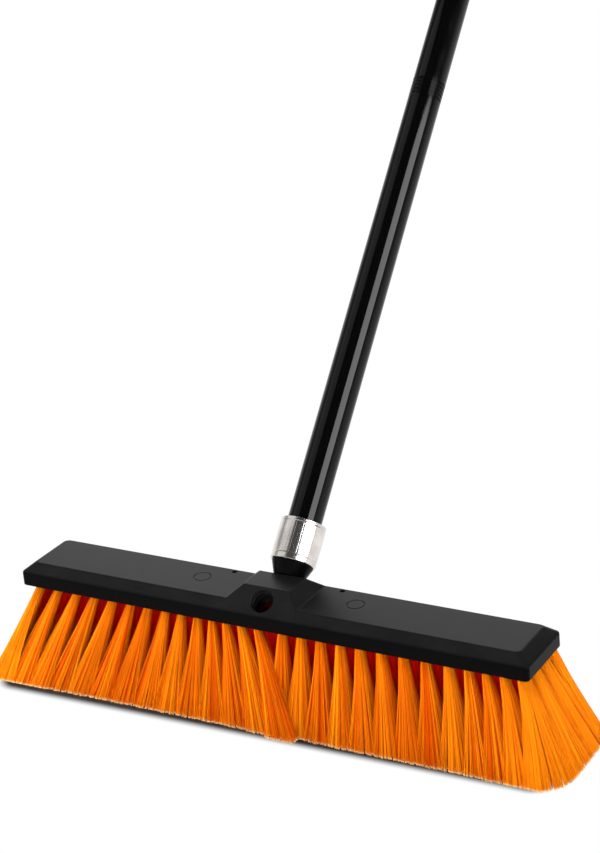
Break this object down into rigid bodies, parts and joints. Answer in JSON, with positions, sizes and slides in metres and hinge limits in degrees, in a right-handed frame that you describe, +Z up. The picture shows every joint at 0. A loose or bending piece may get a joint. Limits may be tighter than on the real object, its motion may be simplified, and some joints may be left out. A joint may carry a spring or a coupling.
{
  "type": "wide floor broom",
  "caption": "Wide push broom: bevelled black block, raised boss with a spare handle socket, fanned orange bristles, and a leaning screw-together tube handle with collar, soft grip and cap.",
  "frame": {"origin": "on the floor under the middle of the block, where the trimmed bristle tips stand", "axes": "+X along the block, +Y the side that the handle leans to, +Z up"},
  "size_m": [0.5179, 1.1197, 1.2554],
  "materials": {
    "block_plastic": "satin",
    "bristle": "satin",
    "anchor_wire": "satin",
    "coupling_plastic": "satin",
    "collar_metal": "polished",
    "tube_paint": "gloss",
    "grip_foam": "matte",
    "cap_rubber": "matte"
  },
  "bodies": {
    "head": {"broom_block": "block_plastic", "bristles_left": "bristle", "bristles_right": "bristle", "tuft_anchors_left": "anchor_wire", "tuft_anchors_right": "anchor_wire"},
    "tip": {"threaded_tip": "coupling_plastic"},
    "section_1": {"tube_1": "tube_paint", "knurled_collar": "collar_metal", "joint_nut_1": "coupling_plastic"},
    "stud_1": {"joint_stud_1": "coupling_plastic"},
    "section_2": {"tube_2": "tube_paint", "joint_nut_2": "coupling_plastic"},
    "stud_2": {"joint_stud_2": "coupling_plastic"},
    "section_3": {"tube_3": "tube_paint", "foam_grip": "grip_foam", "joint_nut_3": "coupling_plastic"},
    "stud_3": {"joint_stud_3": "coupling_plastic"},
    "section_4": {"tube_4": "tube_paint", "end_cap": "cap_rubber"}
  },
  "joints": [
    {"name": "handle_advance", "type": "slide", "parent": "head", "child": "tip", "axis": [0, 0.6691, 0.7431], "range_m": [0, 0.01525]},
    {"name": "handle_turn", "type": "hinge", "parent": "tip", "child": "section_1", "pos_m": [0, 0.021, 0.097], "axis": [0, 0.6691, 0.7431], "range_deg": [0, 1080]},
    {"name": "section_2_advance", "type": "slide", "parent": "section_1", "child": "stud_1", "axis": [0, 0.6691, 0.7431], "range_m": [0, 0.02401]},
    {"name": "section_2_turn", "type": "hinge", "parent": "stud_1", "child": "section_2", "pos_m": [0, 0.3175, 0.42629], "axis": [0, 0.6691, 0.7431], "range_deg": [0, 2160]},
    {"name": "section_3_advance", "type": "slide", "parent": "section_2", "child": "stud_2", "axis": [0, 0.6691, 0.7431], "range_m": [0, 0.02401]},
    {"name": "section_3_turn", "type": "hinge", "parent": "stud_2", "child": "section_3", "pos_m": [0, 0.61262, 0.75405], "axis": [0, 0.6691, 0.7431], "range_deg": [0, 2160]},
    {"name": "section_4_advance", "type": "slide", "parent": "section_3", "child": "stud_3", "axis": [0, 0.6691, 0.7431], "range_m": [0, 0.02401]},
    {"name": "section_4_turn", "type": "hinge", "parent": "stud_3", "child": "section_4", "pos_m": [0, 0.82677, 0.99189], "axis": [0, 0.6691, 0.7431], "range_deg": [0, 2160]}
  ],
  "couplings": [
    {"joint": "handle_advance", "follows": "handle_turn", "m_per_rad": 0.00080851},
    {"joint": "section_2_advance", "follows": "section_2_turn", "m_per_rad": 0.00063662},
    {"joint": "section_3_advance", "follows": "section_3_turn", "m_per_rad": 0.00063662},
    {"joint": "section_4_advance", "follows": "section_4_turn", "m_per_rad": 0.00063662}
  ]
}
